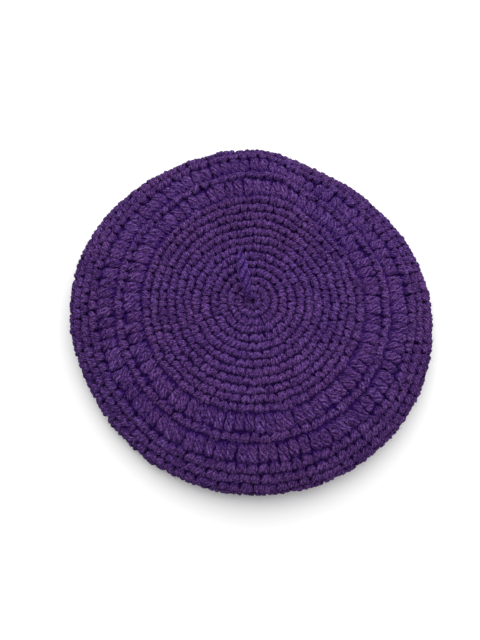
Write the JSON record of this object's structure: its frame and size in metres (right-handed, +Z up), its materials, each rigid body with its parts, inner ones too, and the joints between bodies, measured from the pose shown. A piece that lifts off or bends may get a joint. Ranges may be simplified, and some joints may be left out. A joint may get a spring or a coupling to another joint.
{
  "type": "crochet beret",
  "caption": "Soft round crocheted beret with a rounded rim, a turned-in underside, a plain head band and a short stalk on top.",
  "frame": {"origin": "on the surface that the beret lies on, under the middle of its outline", "axes": "+Z up through the crown, -Y towards the front rim, +Y towards the raised back rim and the stem's lean"},
  "size_m": [0.255, 0.244, 0.06],
  "materials": {
    "yarn": "matt wool-like crocheted yarn, deep purple",
    "stem_yarn": "matt wool-like twisted yarn, bluer and lighter purple"
  },
  "bodies": {
    "root": {"crown": "yarn", "underside": "yarn", "band": "yarn", "stem": "stem_yarn"}
  },
  "joints": []
}
